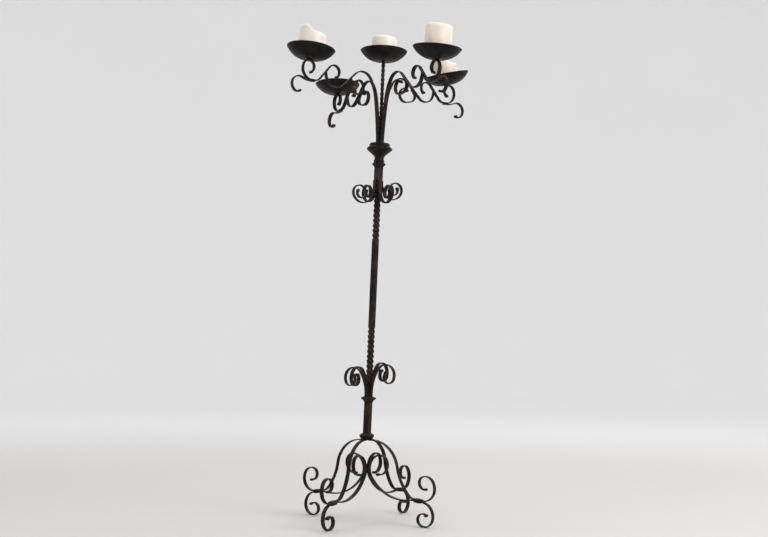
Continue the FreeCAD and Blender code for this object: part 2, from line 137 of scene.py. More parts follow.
ARM_START_OUT = 7.4
ARM_START_LEVEL = 907.0
ARM_START_HEADING = 86.6
ARM_RISE = [(1130, -5.4), (114.2, -24.5), (28.4, -101.7), (0, 18.2)]
ARM_DIP_FALL = [(0, 30), (23.8, 46)]
ARM_DIP_RISE = [(23.8, 71), (82.9, 10)]
LOOP_CONTACT = 8.0
ARM_LOOP = [(14.8, -124), (0, 12.5), (17.6, -163), (8.6, -116)]
S_WELD_HEADING = -51.0          # the S-scroll slopes down and outward over the weld
S_INWARD = [(0, 17.5), (15.2, 180), (6.6, 66)]
S_OUTWARD = [(0, 24), (18.2, 51)]
S_TAIL_CONTACT = 12.0
S_SEAT = [(16.8, 27), (26.0, 92), (14.6, 227)]
ARM_TAIL = [(54.7, 24), (19.1, -170), (10.5, -94)]

# ---- turned, sheet and wax parts -------------------------------------------------------------
BORE_RADIUS = 9.1
HUB_BORE_RADIUS = 9.6
COLLAR_WALL = 2.0

# Outlines of the turned parts, (radius, level), from the outer edge of the underside up.
HUB_PROFILE = [(14.0, HUB_UNDERSIDE), (15.0, 196.0), (17.2, 199.8), (18.0, 202.0),
               (17.2, 204.0), (12.5, 206.8), (11.5, HUB_TOP)]
LOWER_RING_PROFILE = [(10.8, LOWER_RING), (12.6, 284.8), (17.6, 288.6), (18.9, 290.3),
                      (17.8, 292.0), (12.8, 294.0), (12.0, LOWER_RING_TOP)]
UPPER_RING_PROFILE = [(11.8, UPPER_RING), (13.4, 850.3), (16.1, 852.4), (17.1, 853.8),
                      (16.2, 855.3), (13.8, 857.2), (13.0, UPPER_RING_TOP)]
CUP_PROFILE = [(13.0, UPPER_RING_TOP), (13.2, 861.5), (12.4, 864.0), (11.2, 867.0),
               (11.6, 870.5), (13.6, 874.0), (18.5, 878.8), (24.0, 883.3), (29.0, 887.2),
               (31.0, 889.8), (31.0, 891.6), (29.0, 894.4), (25.4, 896.8), (24.6, 897.8),
               (25.0, 899.2), (25.0, 902.0), (23.0, CUP_TOP)]
CUP_HOLLOW = [(0, CUP_TOP), (0, STEM_TOP + 0.5), (BORE_RADIUS, STEM_TOP + 0.5),
              (BORE_RADIUS, UPPER_RING_TOP)]

DISH_RIM_RADIUS = 57.0
DISH_DEPTH = 26.0
DISH_FLOOR_RADIUS = 12.0
DISH_SHEET = 1.6
PRICKET_RADIUS = 2.5
PRICKET_SHANK = 16.0
PRICKET_POINT = 12.0
PRICKET_FOOT = 1.0
PRICKET_FOOT_RADIUS = 6.0
PRICKET_FOOT_TOP = DISH_SHEET + PRICKET_FOOT
PRICKET_SHANK_TOP = PRICKET_FOOT_TOP + PRICKET_SHANK
PRICKET_TIP = PRICKET_SHANK_TOP + PRICKET_POINT
CANDLE_BEVEL = 2.5
CANDLE_BORE_CLEARANCE = 0.05

POOL_DEPTH = 5.0
WICK_RADIUS = 1.0
WICK_SHOWN = 5.5

# Each candle: radius, height above the dish's rim of its low side and of its high side,
# where between them the wax steps up (across the candle, from its axis), over what width,
# and how far its edge has rounded off.
CANDLES = {"front_left": (31.0, 36.0, 50.5, -3.0, 19.0, 5.5),
           "front_right": (31.0, 52.8, 53.6, 0.0, 40.0, 6.5),
           "back_right": (30.0, 25.0, 46.0, 5.0, 34.0, 5.0),
           "centre": (30.0, 31.8, 33.4, 0.0, 50.0, 4.5)}

# The frame gives where the hub stands; every other place follows from it.
hub_low, hub_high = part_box("hub_ring")
HUB_PLACE = Vector(((hub_low[0] + hub_high[0]) / 2 / MM, (hub_low[1] + hub_high[1]) / 2 / MM,
                    hub_low[2] / MM - HUB_UNDERSIDE))
LEAN_MATRIX = (Matrix.Translation(LEAN_PIVOT) @ Matrix.Rotation(math.radians(LEAN), 4, "Y")
               @ Matrix.Translation(-LEAN_PIVOT))
UPRIGHT = Matrix.Translation(HUB_PLACE)
LEANING = UPRIGHT @ LEAN_MATRIX


def turned(direction):
    """Rotation about the stem axis to a direction in degrees."""
    return Matrix.Rotation(math.radians(direction), 4, "Z")


# ---- the line of a planar scroll -----------------------------------------------------------
def step(pose, bend):
    """Pose (out, up, heading) after one bend; radius 0 is a straight of that length."""
    out, up, heading = pose
    radius, amount = bend
    angle = math.radians(heading)
    if radius == 0:
        return (out + amount * math.cos(angle), up + amount * math.sin(angle), heading)
    side = math.copysign(radius, amount)
    end = math.radians(heading + amount)
    return (out + side * (math.sin(end) - math.sin(angle)),
            up - side * (math.cos(end) - math.cos(angle)),
            heading + amount)


def run(pose, bends):
    for bend in bends:
        pose = step(pose, bend)
    return pose


def shifted(pose, left):
    out, up, heading = pose
    angle = math.radians(heading)
    return (out - left * math.sin(angle), up + left * math.cos(angle), heading)


def turned_back(pose):
    return (pose[0], pose[1], pose[2] + 180)


def reversed_bends(bends):
    return [(radius, amount if radius == 0 else -amount) for radius, amount in reversed(bends)]


def bend_length(bend):
    radius, amount = bend
    return abs(amount) if radius == 0 else abs(math.radians(amount)) * radius


def pose_at(pose, bends, distance):
    """Pose at a distance along a line."""
    for radius, amount in bends:
        length = bend_length((radius, amount))
        if 0 < distance < length:
            return step(pose, (radius, amount * distance / length))
        if distance > 0:
            pose = step(pose, (radius, amount))
        distance -= length
    return pose


def stations_along(length, spacing):
    """Distances along a bar, closer together over the worked length at each end."""
    close = [END_WORKED * (part / 7) ** 1.7 for part in range(7)]
    middle = length - 2 * END_WORKED
    pieces = round(middle / spacing)
    even = [END_WORKED + middle * part / pieces for part in range(pieces + 1)]
    return close + even + [length - distance for distance in reversed(close)]


# ---- mesh helpers --------------------------------------------------------------------------
def smooth_step(value):
    value = max(0.0, min(1.0, value))
    return value * value * (3 - 2 * value)


def new_object(name, bm, matrix, material, sharp=50):
    """Object at the origin with its mesh in metres, smooth shaded except at sharp edges."""
    bmesh.ops.recalc_face_normals(bm, faces=bm.faces)
    for face in bm.faces:
        face.smooth = True
    mesh = bpy.data.meshes.new(name)
    bm.to_mesh(mesh)
    bm.free()
    mesh.transform(Matrix.Scale(MM, 4) @ matrix)
    mesh.materials.append(material)
    mesh.set_sharp_from_angle(angle=math.radians(sharp))
    obj = bpy.data.objects.new(name, mesh)
    bpy.context.scene.collection.objects.link(obj)
    return obj


def skin_rings(bm, rings, closed=False):
    """Quads between rings of vertices, closed on themselves or capped at both ends."""
    count = len(rings[0])
    pairs = list(zip(rings, rings[1:]))
    if closed:
        pairs.append((rings[-1], rings[0]))
    for lower, upper in pairs:
        for index in range(count):
            after = (index + 1) % count
            bm.faces.new((lower[index], lower[after], upper[after], upper[index]))
    if not closed:
        bm.faces.new(list(reversed(rings[0])))
        bm.faces.new(rings[-1])


def hammer_dent(place, dents):
    """Depth of the overlapping shallow dents that a hammer leaves, zero on the ridges."""
    cell, depth = dents
    nearest = noise.voronoi(place / cell)[0][0]
    return depth * min(1.0, nearest * nearest * 2.2) - depth


def drift_of(seed):
    """Offset into the noise that makes each piece its own."""
    return Vector((seed * 37.1, seed * 11.7, seed * 5.3))


def rounded_rectangle(half_width, half_thick, corner, wide_points, thick_points):
    """Outline (across, through) with rounded corners, and the outward normal at each."""
    arcs = []
    for quarter, (sign_x, sign_y) in enumerate(((1, 1), (-1, 1), (-1, -1), (1, -1))):
        middle = Vector((sign_x * (half_width - corner), sign_y * (half_thick - corner)))
        normals = [Vector((math.cos(math.radians(quarter * 90 + turn)),
                           math.sin(math.radians(quarter * 90 + turn))))
                   for turn in (0, 45, 90)]
        arcs.append([(middle + normal * corner, normal) for normal in normals])
    outline = []
    for quarter, arc in enumerate(arcs):
        outline += arc
        start, normal = arc[-1]
        end = arcs[(quarter + 1) % 4][0][0]
        count = wide_points if quarter in (0, 2) else thick_points
        outline += [(start.lerp(end, part / (count + 1)), normal)
                    for part in range(1, count + 1)]
    return outline


def end_scale(from_end, upset):
    """How wide and how thick a bar is, as shares of its stock, at a distance from an end.

    A free end is upset into a round knob, and a welded end is only softened.
    """
    narrowing = math.sqrt(min(1.0, from_end / END_SOFTENED))
    if not upset:
        softened = 0.72 + 0.28 * narrowing
        return softened, softened
    swell = smooth_step((END_WORKED - from_end) / (END_WORKED - KNOB_RADIUS))
    knob = 1 + (2 * KNOB_RADIUS / STRAP_THICK - 1) * swell
    short = 1 - min(KNOB_RADIUS, max(from_end, 0.15)) / KNOB_RADIUS
    return 0.86 + 0.14 * narrowing, knob * math.sqrt(1 - short ** 2)


def forged_strap(name, pose, bends, upset_ends, matrix, material, seed):
    """Flat bar swept along a planar line, with hammered faces and worked ends."""
    length = sum(bend_length(bend) for bend in bends)
    outline = rounded_rectangle(STRAP_WIDTH / 2, STRAP_THICK / 2, STRAP_CORNER, 5, 1)
    drift = drift_of(seed)
    side = Vector((0, 1, 0))
    bm = bmesh.new()
    rings = []
    for along in stations_along(length, STRAP_SPACING):
        out, up, heading = pose_at(pose, bends, along)
        angle = math.radians(heading)
        left = Vector((-math.sin(angle), 0, math.cos(angle)))
        centre = Vector((out, 0, up))
        spread = 1 + 0.03 * noise.noise(Vector((along / 38, seed * 3.1, 0)))
        wide_start, thick_start = end_scale(along, upset_ends[0])
        wide_end, thick_end = end_scale(length - along, upset_ends[1])
        wide, thick = wide_start * wide_end, thick_start * thick_end
        ring = []
        for flat_place, normal in outline:
            stretched = Vector((along, flat_place.x, flat_place.y * 3)) + drift
            dent = hammer_dent(stretched, STRAP_DENTS) + 0.07 * noise.noise(stretched / 3.2)
            across = (flat_place.x * spread + normal.x * dent * 0.7) * wide
            through = (flat_place.y + normal.y * dent) * thick
            ring.append(bm.verts.new(centre + side * across + left * through))
        rings.append(ring)
    skin_rings(bm, rings)
    return new_object(name, bm, matrix, material)


def square_ring(bm, outline, level, angle, scale, drift):
    """One section of a square bar or tube, turned about Z and slightly hammered."""
    rotation = Matrix.Rotation(angle, 3, "Z")
    ring = []
    for place, normal in outline:
        dent = hammer_dent(Vector((place.x, place.y, level)) + drift, SQUARE_BAR_DENTS)
        spot = (place + normal * dent) * scale
        ring.append(bm.verts.new(rotation @ Vector((spot.x, spot.y, 0)) + Vector((0, 0, level))))
    return ring


def forged_square_bar(name, side, corner, bottom, turn, runs, matrix, material, seed):
    """Square bar up the Z axis.  Each run is (top, degrees of left-hand twist)."""
    spacing = 1.4
    outline = rounded_rectangle(side / 2, side / 2, corner, 4, 4)
    drift = drift_of(seed)
    bm = bmesh.new()
    rings = []
    top_of_all = runs[-1][0]
    level, angle = bottom, turn
    for top, twist in runs:
        steps = round((top - level) / spacing)
        first = 1 if rings else 0
        for index in range(first, steps + 1):
            share = index / steps
            height = level + (top - level) * share
            from_end = min(height - bottom, top_of_all - height)
            scale = min(1.0, 0.86 + 0.14 * math.sqrt(max(0.0, from_end) / 1.5))
            rings.append(square_ring(bm, outline, height, math.radians(angle - twist * share),
                                     scale, drift))
        level, angle = top, angle - twist
    skin_rings(bm, rings)
    return new_object(name, bm, matrix, material)


def band(name, outer, inner, corner, length, bulge, matrix, material, seed, seam=False):
    """Rectangular tube along Z, centred, given by the half sizes of its outside and bore.

    The outside is crowned by the bulge, and a seam is the line where its ends meet.
    """
    wide_points, thick_points = 13, 9
    outside = rounded_rectangle(*outer, corner, wide_points, thick_points)
    bore = rounded_rectangle(*inner, 0.15, wide_points, thick_points)
    seam_point = 3 + wide_points // 2
    drift = drift_of(seed)
    lip = min(1.0, length / 8)
    half = length / 2
    steps = max(4, round((length - 2 * lip) / 1.5))
    stations = [-half + lip * (1 - math.cos(math.radians(angle))) for angle in (0, 30, 60)]
    stations += [-half + lip + (length - 2 * lip) * part / steps for part in range(steps + 1)]
    stations += [half - lip * (1 - math.cos(math.radians(angle))) for angle in (60, 30, 0)]
    bm = bmesh.new()
    rings = []
    for level in stations:
        from_end = half - abs(level)
        rounding = lip - math.sqrt(max(0.0, lip ** 2 - max(0.0, lip - from_end) ** 2))
        crown = bulge * (1 - (level / half) ** 2) - bulge
        ring = []
        for index, (place, normal) in enumerate(outside):
            dent = hammer_dent(Vector((place.x, place.y, level)) + drift, BAND_DENTS)
            groove = COLLAR_SEAM_DEPTH if seam and index == seam_point else 0.0
            spot = place + normal * (dent + crown - groove - rounding)
            ring.append(bm.verts.new((spot.x, spot.y, level)))
        rings.append(ring)
    for level in (half, -half):
        rings.append([bm.verts.new((place.x, place.y, level)) for place, _ in bore])
    skin_rings(bm, rings, closed=True)
    return new_object(name, bm, matrix, material)


def filleted(points, radius, parts=4):
    """Closed outline of (radius, height) with its corners rounded off."""
    rounded = []
    count = len(points)
    for index, (out, up) in enumerate(points):
        here = Vector((out, up))
        if out == 0:
            rounded.append(here)
            continue
        before = Vector(points[index - 1]) - here
        after = Vector(points[(index + 1) % count]) - here
        reach = min(radius, before.length * 0.45, after.length * 0.45)
        start = here + before.normalized() * reach
        end = here + after.normalized() * reach
        for part in range(parts + 1):
            share = part / parts
            rounded.append(start.lerp(here, share).lerp(here.lerp(end, share), share))
    return rounded


def bridge(bm, rings, segments):
    """Faces between rings of vertices, where a ring may also be a single vertex."""
    for lower, upper in zip(rings, rings[1:]):
        if len(lower) == 1 and len(upper) == 1:
            continue
        for index in range(segments):
            after = (index + 1) % segments
            corners = [lower[index % len(lower)], lower[after % len(lower)],
                       upper[after % len(upper)], upper[index % len(upper)]]
            bm.faces.new(list(dict.fromkeys(corners)))


def lathe(bm, profile, segments, shape=None):
    """Closed solid of revolution round Z.  shape(spot) may move each vertex."""
    shape = shape or (lambda spot: spot)
    rings = []
    for out, up in profile:
        if out == 0:
            rings.append([bm.verts.new(shape(Vector((0, 0, up))))])
            continue
        ring = []
        for index in range(segments):
            angle = 2 * math.pi * index / segments
            ring.append(bm.verts.new(shape(Vector((out * math.cos(angle),
                                                   out * math.sin(angle), up)))))
        rings.append(ring)
    bridge(bm, rings + rings[:1], segments)


def unevenly_turned(seed, dents):
    """Vertex mover that dents a turned piece a little all round."""
    drift = drift_of(seed)

    def shape(spot):
        outward = Vector((spot.x, spot.y, 0))
        if outward.length == 0:
            return spot
        return spot + outward.normalized() * hammer_dent(spot + drift, dents)
    return shape


def turned_piece(name, points, corner, matrix, material, seed):
    bm = bmesh.new()
    lathe(bm, filleted(points, corner), 80, unevenly_turned(seed, TURNED_DENTS))
    return new_object(name, bm, matrix, material, 40)


def bored(bore, profile):
    """Outline of a ring, closed by its bore."""
    return [(bore, profile[-1][1]), (bore, profile[0][1])] + profile


def bowl_arc(inset, parts):
    """Points of the dish's curve from its floor to its rim, moved inward by the inset."""
    reach = DISH_RIM_RADIUS - DISH_FLOOR_RADIUS
    bowl = (reach ** 2 + DISH_DEPTH ** 2) / (2 * DISH_DEPTH)
    sweep = math.asin(reach / bowl)
    angles = [sweep * part / parts for part in range(parts + 1)]
    return [(DISH_FLOOR_RADIUS + (bowl - inset) * math.sin(angle),
             bowl - (bowl - inset) * math.cos(angle)) for angle in angles]


def planished_dish(name, matrix, material, seed):
    """Raised bowl of thin sheet with the marks of the planishing hammer."""
    outer = bowl_arc(0.0, 26)
    inner = bowl_arc(DISH_SHEET, 26)
    tangent = (Vector(outer[-1]) - Vector(outer[-2])).normalized()
    rim = [Vector(outer[-1]).lerp(Vector(inner[-1]), share) + tangent * bow
           for share, bow in ((0.2, 0.35), (0.5, 0.55), (0.8, 0.35))]
    floor = [4.0, 8.0]
    profile = ([(0, 0)] + [(out, 0) for out in floor] + outer + rim + inner[::-1]
               + [(out, DISH_SHEET) for out in floor[::-1]] + [(0, DISH_SHEET)])
    drift = drift_of(seed)
    middle = Vector((0, 0, DISH_RIM_RADIUS))

    def planished(spot):
        outward = (spot - middle).normalized()
        marks = hammer_dent(spot + drift, DISH_DENTS)
        warp = 0.5 * noise.noise((spot + drift) / 38)
        return spot + outward * (marks + warp) * min(1.0, spot.xy.length / 16)

    bm = bmesh.new()
    lathe(bm, profile, 150, planished)
    return new_object(name, bm, matrix, material)


def spikes(name, matrices, material):
    """The pointed spikes on which the candles stand, each welded on its foot."""
    profile = [(0, DISH_SHEET), (PRICKET_FOOT_RADIUS, DISH_SHEET),
               (PRICKET_FOOT_RADIUS - 1, PRICKET_FOOT_TOP),
               (PRICKET_RADIUS + 0.9, PRICKET_FOOT_TOP),
               (PRICKET_RADIUS, PRICKET_FOOT_TOP + 1.2), (PRICKET_RADIUS, PRICKET_SHANK_TOP),
               (0.35, PRICKET_TIP - 0.4), (0, PRICKET_TIP)]
    bm = bmesh.new()
    for index, matrix in enumerate(matrices):
        uneven = unevenly_turned(90 + index, PRICKET_DENTS)
        lathe(bm, filleted(profile, 0.5, 3), 32, lambda spot: matrix @ uneven(spot))
    return new_object(name, bm, Matrix.Identity(4), material)


# ---- candles -------------------------------------------------------------------------------
def candle_rest(radius):
    """Height in the dish at which the lower edge of a candle comes to rest."""
    reach = DISH_RIM_RADIUS - DISH_FLOOR_RADIUS
    bowl = (reach ** 2 + DISH_DEPTH ** 2) / (2 * DISH_DEPTH)
    edge = radius - CANDLE_BEVEL - DISH_FLOOR_RADIUS
    return bowl - math.sqrt((bowl - DISH_SHEET) ** 2 - edge ** 2)


def candle_top(corner, heading, seed):
    """Height of the burnt top at a place (x, y) of the candle's own section."""
    radius, low, high, step_at, step_width, shoulder = CANDLES[corner]
    pool_radius = radius - shoulder - 3.5
    turn = math.radians(heading)

    def height(x, y):
        across = x * math.cos(turn) - y * math.sin(turn)
        raised = smooth_step((step_at + step_width / 2 - across) / step_width)
        level = DISH_DEPTH + low + (high - low) * raised
        level += 0.7 * noise.noise(Vector((x / 11, y / 11, seed)))
        reach = math.hypot(x, y)
        over = max(0.0, min(shoulder, reach - (radius - shoulder)))
        level -= shoulder - math.sqrt(shoulder ** 2 - over ** 2)
        bowl = 1 - min(1.0, reach / pool_radius) ** 2.6
        return level - POOL_DEPTH * smooth_step(bowl)
    return height


def candle_underside(radius, rest):
    """Outline (radius, level) of the hole for the spike, the base and its rounded edge."""
    bore = PRICKET_RADIUS + CANDLE_BORE_CLEARANCE
    hole = [(bore, PRICKET_SHANK_TOP + 0.25), (bore, rest), (radius - CANDLE_BEVEL, rest)]
    turns = [math.radians(turn) for turn in (30, 60, 90)]
    return hole + [(radius - CANDLE_BEVEL * (1 - math.sin(turn)),
                    rest + CANDLE_BEVEL * (1 - math.cos(turn))) for turn in turns]


def candle_wall(bm, circle, radius, bottom, top, drift):
    """Rings up the side of a candle, from above its lower edge to its uneven top."""
    steps = 30
    rings = []
    for part in range(1, steps + 1):
        ring = []
        for x, y in circle:
            up = bottom + (top(radius * x, radius * y) - bottom) * part / steps
            swell = 0.25 * noise.noise(Vector((x * 2.2, y * 2.2, up / 19)) + drift)
            ring.append(bm.verts.new(((radius + swell) * x, (radius + swell) * y, up)))
        rings.append(ring)
    return rings


def wax_candle(name, corner, heading, matrix, material, seed):
    """Pillar candle with a rounded, unevenly burnt top and a hole for its spike."""
    radius, shoulder = CANDLES[corner][0], CANDLES[corner][5]
    top = candle_top(corner, heading, seed)
    rest = candle_rest(radius)
    segments = 144
    angles = [2 * math.pi * index / segments for index in range(segments)]
    circle = [(math.cos(angle), math.sin(angle)) for angle in angles]
    bm = bmesh.new()
    rings = [[bm.verts.new((0, 0, PRICKET_TIP + 0.5))]]
    for out, up in candle_underside(radius, rest):
        rings.append([bm.verts.new((out * x, out * y, up)) for x, y in circle])
    rings += candle_wall(bm, circle, radius, rest + CANDLE_BEVEL, top, drift_of(seed))
    rounding = [radius - shoulder * (1 - math.cos(math.radians(turn)))
                for turn in range(12, 91, 13)]
    inner = [(radius - shoulder) * (1 - part / 22) for part in range(1, 22)]
    for out in rounding + inner:
        rings.append([bm.verts.new((out * x, out * y, top(out * x, out * y)))
                      for x, y in circle])
    rings.append([bm.verts.new((0, 0, top(0, 0)))])
    bridge(bm, rings, segments)
    return new_object(name, bm, matrix, material, 60)


def cotton_wick(name, corner, heading, matrix, material, seed):
    """Short braided wick, curled over a little, rooted in the pool."""
    root = candle_top(corner, heading, seed)(0, 0) - 2.0
    sections = 26
    strands = 3
    bm = bmesh.new()
    rings = []
    for index in range(sections + 1):
        share = index / sections
        up = root + share * (WICK_SHOWN + 2.0)
        lean = 1.6 * share ** 2.5
        fray = WICK_RADIUS * (1.0 - 0.35 * share ** 6)
        ring = []
        for part in range(18):
            angle = 2 * math.pi * part / 18
            braid = 1 + 0.14 * math.sin(strands * angle + up * 2.4)
            ring.append(bm.verts.new((lean + fray * braid * math.cos(angle),
                                      fray * braid * math.sin(angle), up)))
        rings.append(ring)
    skin_rings(bm, rings)
    return new_object(name, bm, matrix, material)


# ---- materials -----------------------------------------------------------------------------
IRON_BLACK = (0.0034, 0.0027, 0.0022, 1)
IRON_BROWN = (0.026, 0.0150, 0.0085, 1)
IRON_RUST = (0.062, 0.026, 0.010, 1)
IRON_RUBBED = (0.050, 0.041, 0.033, 1)
WAX_PALE = (0.80, 0.74, 0.66, 1)
WAX_DEEP = (0.74, 0.66, 0.57, 1)
CHARRED = (0.014, 0.012, 0.011, 1)
COTTON = (0.16, 0.13, 0.10, 1)
# Painted shade: the floor's grey near the stand, where the lamps fall full on it.
SHADED_FLOOR_GREY = (0.58, 0.57, 0.56, 1)
WALL_GREYS = ((0.84, 0.84, 0.85, 1), (0.87, 0.87, 0.88, 1))


class Surface:
    """A node material, and short ways to add to it."""

    def __init__(self, name):
        self.material = bpy.data.materials.new(name)
        self.material.use_nodes = True
        self.tree = self.material.node_tree
        self.shader = self.tree.nodes["Principled BSDF"]
        self.place = self.add("ShaderNodeTexCoord").outputs["Object"]

    def add(self, kind, inputs=None, **settings):
        node = self.tree.nodes.new(kind)
        for key, value in settings.items():
            setattr(node, key, value)
        for key, value in (inputs or {}).items():
            self.feed(node, key, value)
        return node

    def feed(self, node, key, value):
        if isinstance(value, bpy.types.NodeSocket):
            self.tree.links.new(value, node.inputs[key])
        else:
            node.inputs[key].default_value = value

    def noise(self, size, detail=4.0, roughness=0.55):
        """Noise whose largest features are about the given size in metres."""
        node = self.add("ShaderNodeTexNoise", {"Vector": self.place, "Scale": 1 / size,
                                               "Detail": detail, "Roughness": roughness})
        return node.outputs["Fac"]

    def ramp(self, value, low, high):
        """0 below low, 1 above high, smooth between."""
        node = self.add("ShaderNodeMapRange", {"Value": value, "From Min": low,
                                               "From Max": high},
                        interpolation_type="SMOOTHSTEP")
        return node.outputs["Result"]

    def scaled(self, value, low, high):
        node = self.add("ShaderNodeMapRange", {"Value": value, "From Min": 0.3, "From Max": 0.7,
                                               "To Min": low, "To Max": high})
        return node.outputs["Result"]

    def times(self, first, second):
        node = self.add("ShaderNodeMath", {0: first, 1: second}, operation="MULTIPLY")
        return node.outputs[0]

    def mix(self, share, first, second):
        node = self.add("ShaderNodeMix", data_type="RGBA")
        for key, value in ((0, share), (6, first), (7, second)):
            self.feed(node, key, value)
        return node.outputs[2]

    def bump(self, height, distance, strength, below=None):
        inputs = {"Height": height, "Distance": distance, "Strength": strength}
        if below is not None:
            inputs["Normal"] = below
        return self.add("ShaderNodeBump", inputs).outputs["Normal"]

    def finish(self, **inputs):
        for key, value in inputs.items():
            self.feed(self.shader, key.replace("_", " "), value)
        return self.material


def blackened_iron(name, brown, rust):
    """Waxed black iron: brown where the black has thinned, rubbed grey on the edges."""
    surface = Surface(name)
    patches = surface.noise(0.045, 5.0, 0.6)
    grain = surface.noise(0.0028, 6.0, 0.65)
    specks = surface.noise(0.009, 3.0, 0.5)
    edges = surface.add("ShaderNodeNewGeometry").outputs["Pointiness"]
    rubbed = surface.times(surface.ramp(edges, 0.515, 0.60), surface.ramp(specks, 0.35, 0.65))
    thinned = surface.times(surface.ramp(patches, 0.38, 0.62), brown)
    rusted = surface.times(surface.ramp(specks, 0.60, 0.72), surface.ramp(grain, 0.48, 0.62))
    colour = surface.mix(thinned, IRON_BLACK, IRON_BROWN)
    colour = surface.mix(surface.times(rusted, rust), colour, IRON_RUST)
    colour = surface.mix(surface.times(rubbed, 0.75), colour, IRON_RUBBED)
    scale_marks = surface.bump(specks, 0.0006, 0.25)
    relief = surface.bump(grain, 0.00022, 0.55, scale_marks)
    return surface.finish(Base_Color=colour, Roughness=surface.scaled(grain, 0.34, 0.56),
                          Specular_IOR_Level=0.12, Normal=relief)


def candle_wax(name):
    """Ivory wax, a little deeper in tone in patches, with light passing into it."""
    surface = Surface(name)
    tone = surface.noise(0.03, 3.0, 0.5)
    skin = surface.noise(0.004, 4.0, 0.6)
    colour = surface.mix(surface.ramp(tone, 0.35, 0.7), WAX_PALE, WAX_DEEP)
    relief = surface.bump(skin, 0.0003, 0.12)
    return surface.finish(Base_Color=colour, Roughness=surface.scaled(skin, 0.34, 0.5),
                          Subsurface_Weight=0.65, Subsurface_Radius=(1.0, 0.62, 0.35),
                          Subsurface_Scale=0.006, Normal=relief)


def charred_cotton(name):
    """Cotton wick, charred black, with pale fibres showing."""
    surface = Surface(name)
    fibres = surface.noise(0.0006, 4.0, 0.7)
    colour = surface.mix(surface.ramp(fibres, 0.45, 0.75), CHARRED, COTTON)
    return surface.finish(Base_Color=colour, Roughness=0.9,
                          Normal=surface.bump(fibres, 0.0003, 0.6))


def matt_backdrop(name):
    """Pale backdrop with painted shade near the stand: deeper in tone where the lamps fall full
    on it.
    """
    surface = Surface(name)
    cloudy = surface.noise(0.8, 2.0, 0.4)
    reach = surface.add("ShaderNodeVectorMath", {0: surface.place}, operation="LENGTH")
    # Painted shade: a greyer floor near the stand, paling towards the far wall.
    far = surface.ramp(reach.outputs["Value"], 1.0, 4.5)
    colour = surface.mix(far, SHADED_FLOOR_GREY, surface.mix(cloudy, *WALL_GREYS))
    return surface.finish(Base_Color=colour, Roughness=0.85)


BAR_IRON = blackened_iron("bar_iron", 0.9, 0.6)
SHEET_IRON = blackened_iron("sheet_iron", 0.4, 0.35)
TURNED_IRON = blackened_iron("turned_iron", 0.9, 0.7)
WAX = candle_wax("wax")
WICK = charred_cotton("wick")


# ---- putting it together -------------------------------------------------------------------
# Each piece takes the next seed, so that no two are dented alike.
seeds = itertools.count(1)


def stands_for(piece, node, body="stand"):
    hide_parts(node)
    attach(piece, body)


def place_strap(node, pose, bends, matrix, upset_ends=(False, True)):
    piece = forged_strap(f"forged_{node}", pose, bends, upset_ends, matrix, BAR_IRON,
                         next(seeds))
    stands_for(piece, node)


def make_leg(corner, direction, reach, scroll_reach, tuck):
    """Bar from under the hub, the scroll against it, and the collar round both."""
    matrix = UPRIGHT @ turned(direction)
    sweep = math.radians(SHOULDER_SWEEP)
    dip = math.radians(COLLAR_DIP)
    tightened = tuck * math.sin(dip) / (1 - math.cos(sweep))
    straight = HUB_STRAIGHT + reach - tuck * math.cos(dip) + tightened * math.sin(sweep)
    start = (HUB_GAP, HUB_UNDERSIDE - STRAP_THICK / 2, 0.0)
    bends = [(0, straight), (SHOULDER_RADIUS - tightened, -SHOULDER_SWEEP)] + LEG_SHIN
    bends.append((0, tuck))
    contact = run(start, bends)
    place_strap(f"leg_bar_{corner}", start, bends + [(0, LEG_CONTACT)] + LEG_BAR_SCROLL, matrix)
    inward = [(0, scroll_reach)] + LEG_SCROLL_INWARD
    scroll_start = turned_back(run(turned_back(shifted(contact, -STRAP_THICK)), inward))
    place_strap(f"leg_scroll_{corner}", scroll_start,
                reversed_bends(inward) + [(0, LEG_CONTACT)] + LEG_FOOT_SCROLL, matrix,
                (True, True))
    out, up, heading = shifted(step(contact, (0, LEG_CONTACT / 2)), -STRAP_THICK / 2)
    along = (matrix @ Matrix.Translation((out, 0, up))
             @ Matrix.Rotation(math.radians(90 - heading), 4, "Y"))
    inside = (STRAP_THICK, STRAP_WIDTH / 2)
    outside = (inside[0] + COLLAR_WALL, inside[1] + COLLAR_WALL)
    collar = band(f"forged_leg_collar_{corner}", outside, inside, 1.8, LEG_COLLAR_LENGTH, 0.5,
                  along, BAR_IRON, next(seeds), seam=True)
    stands_for(collar, f"leg_collar_{corner}")


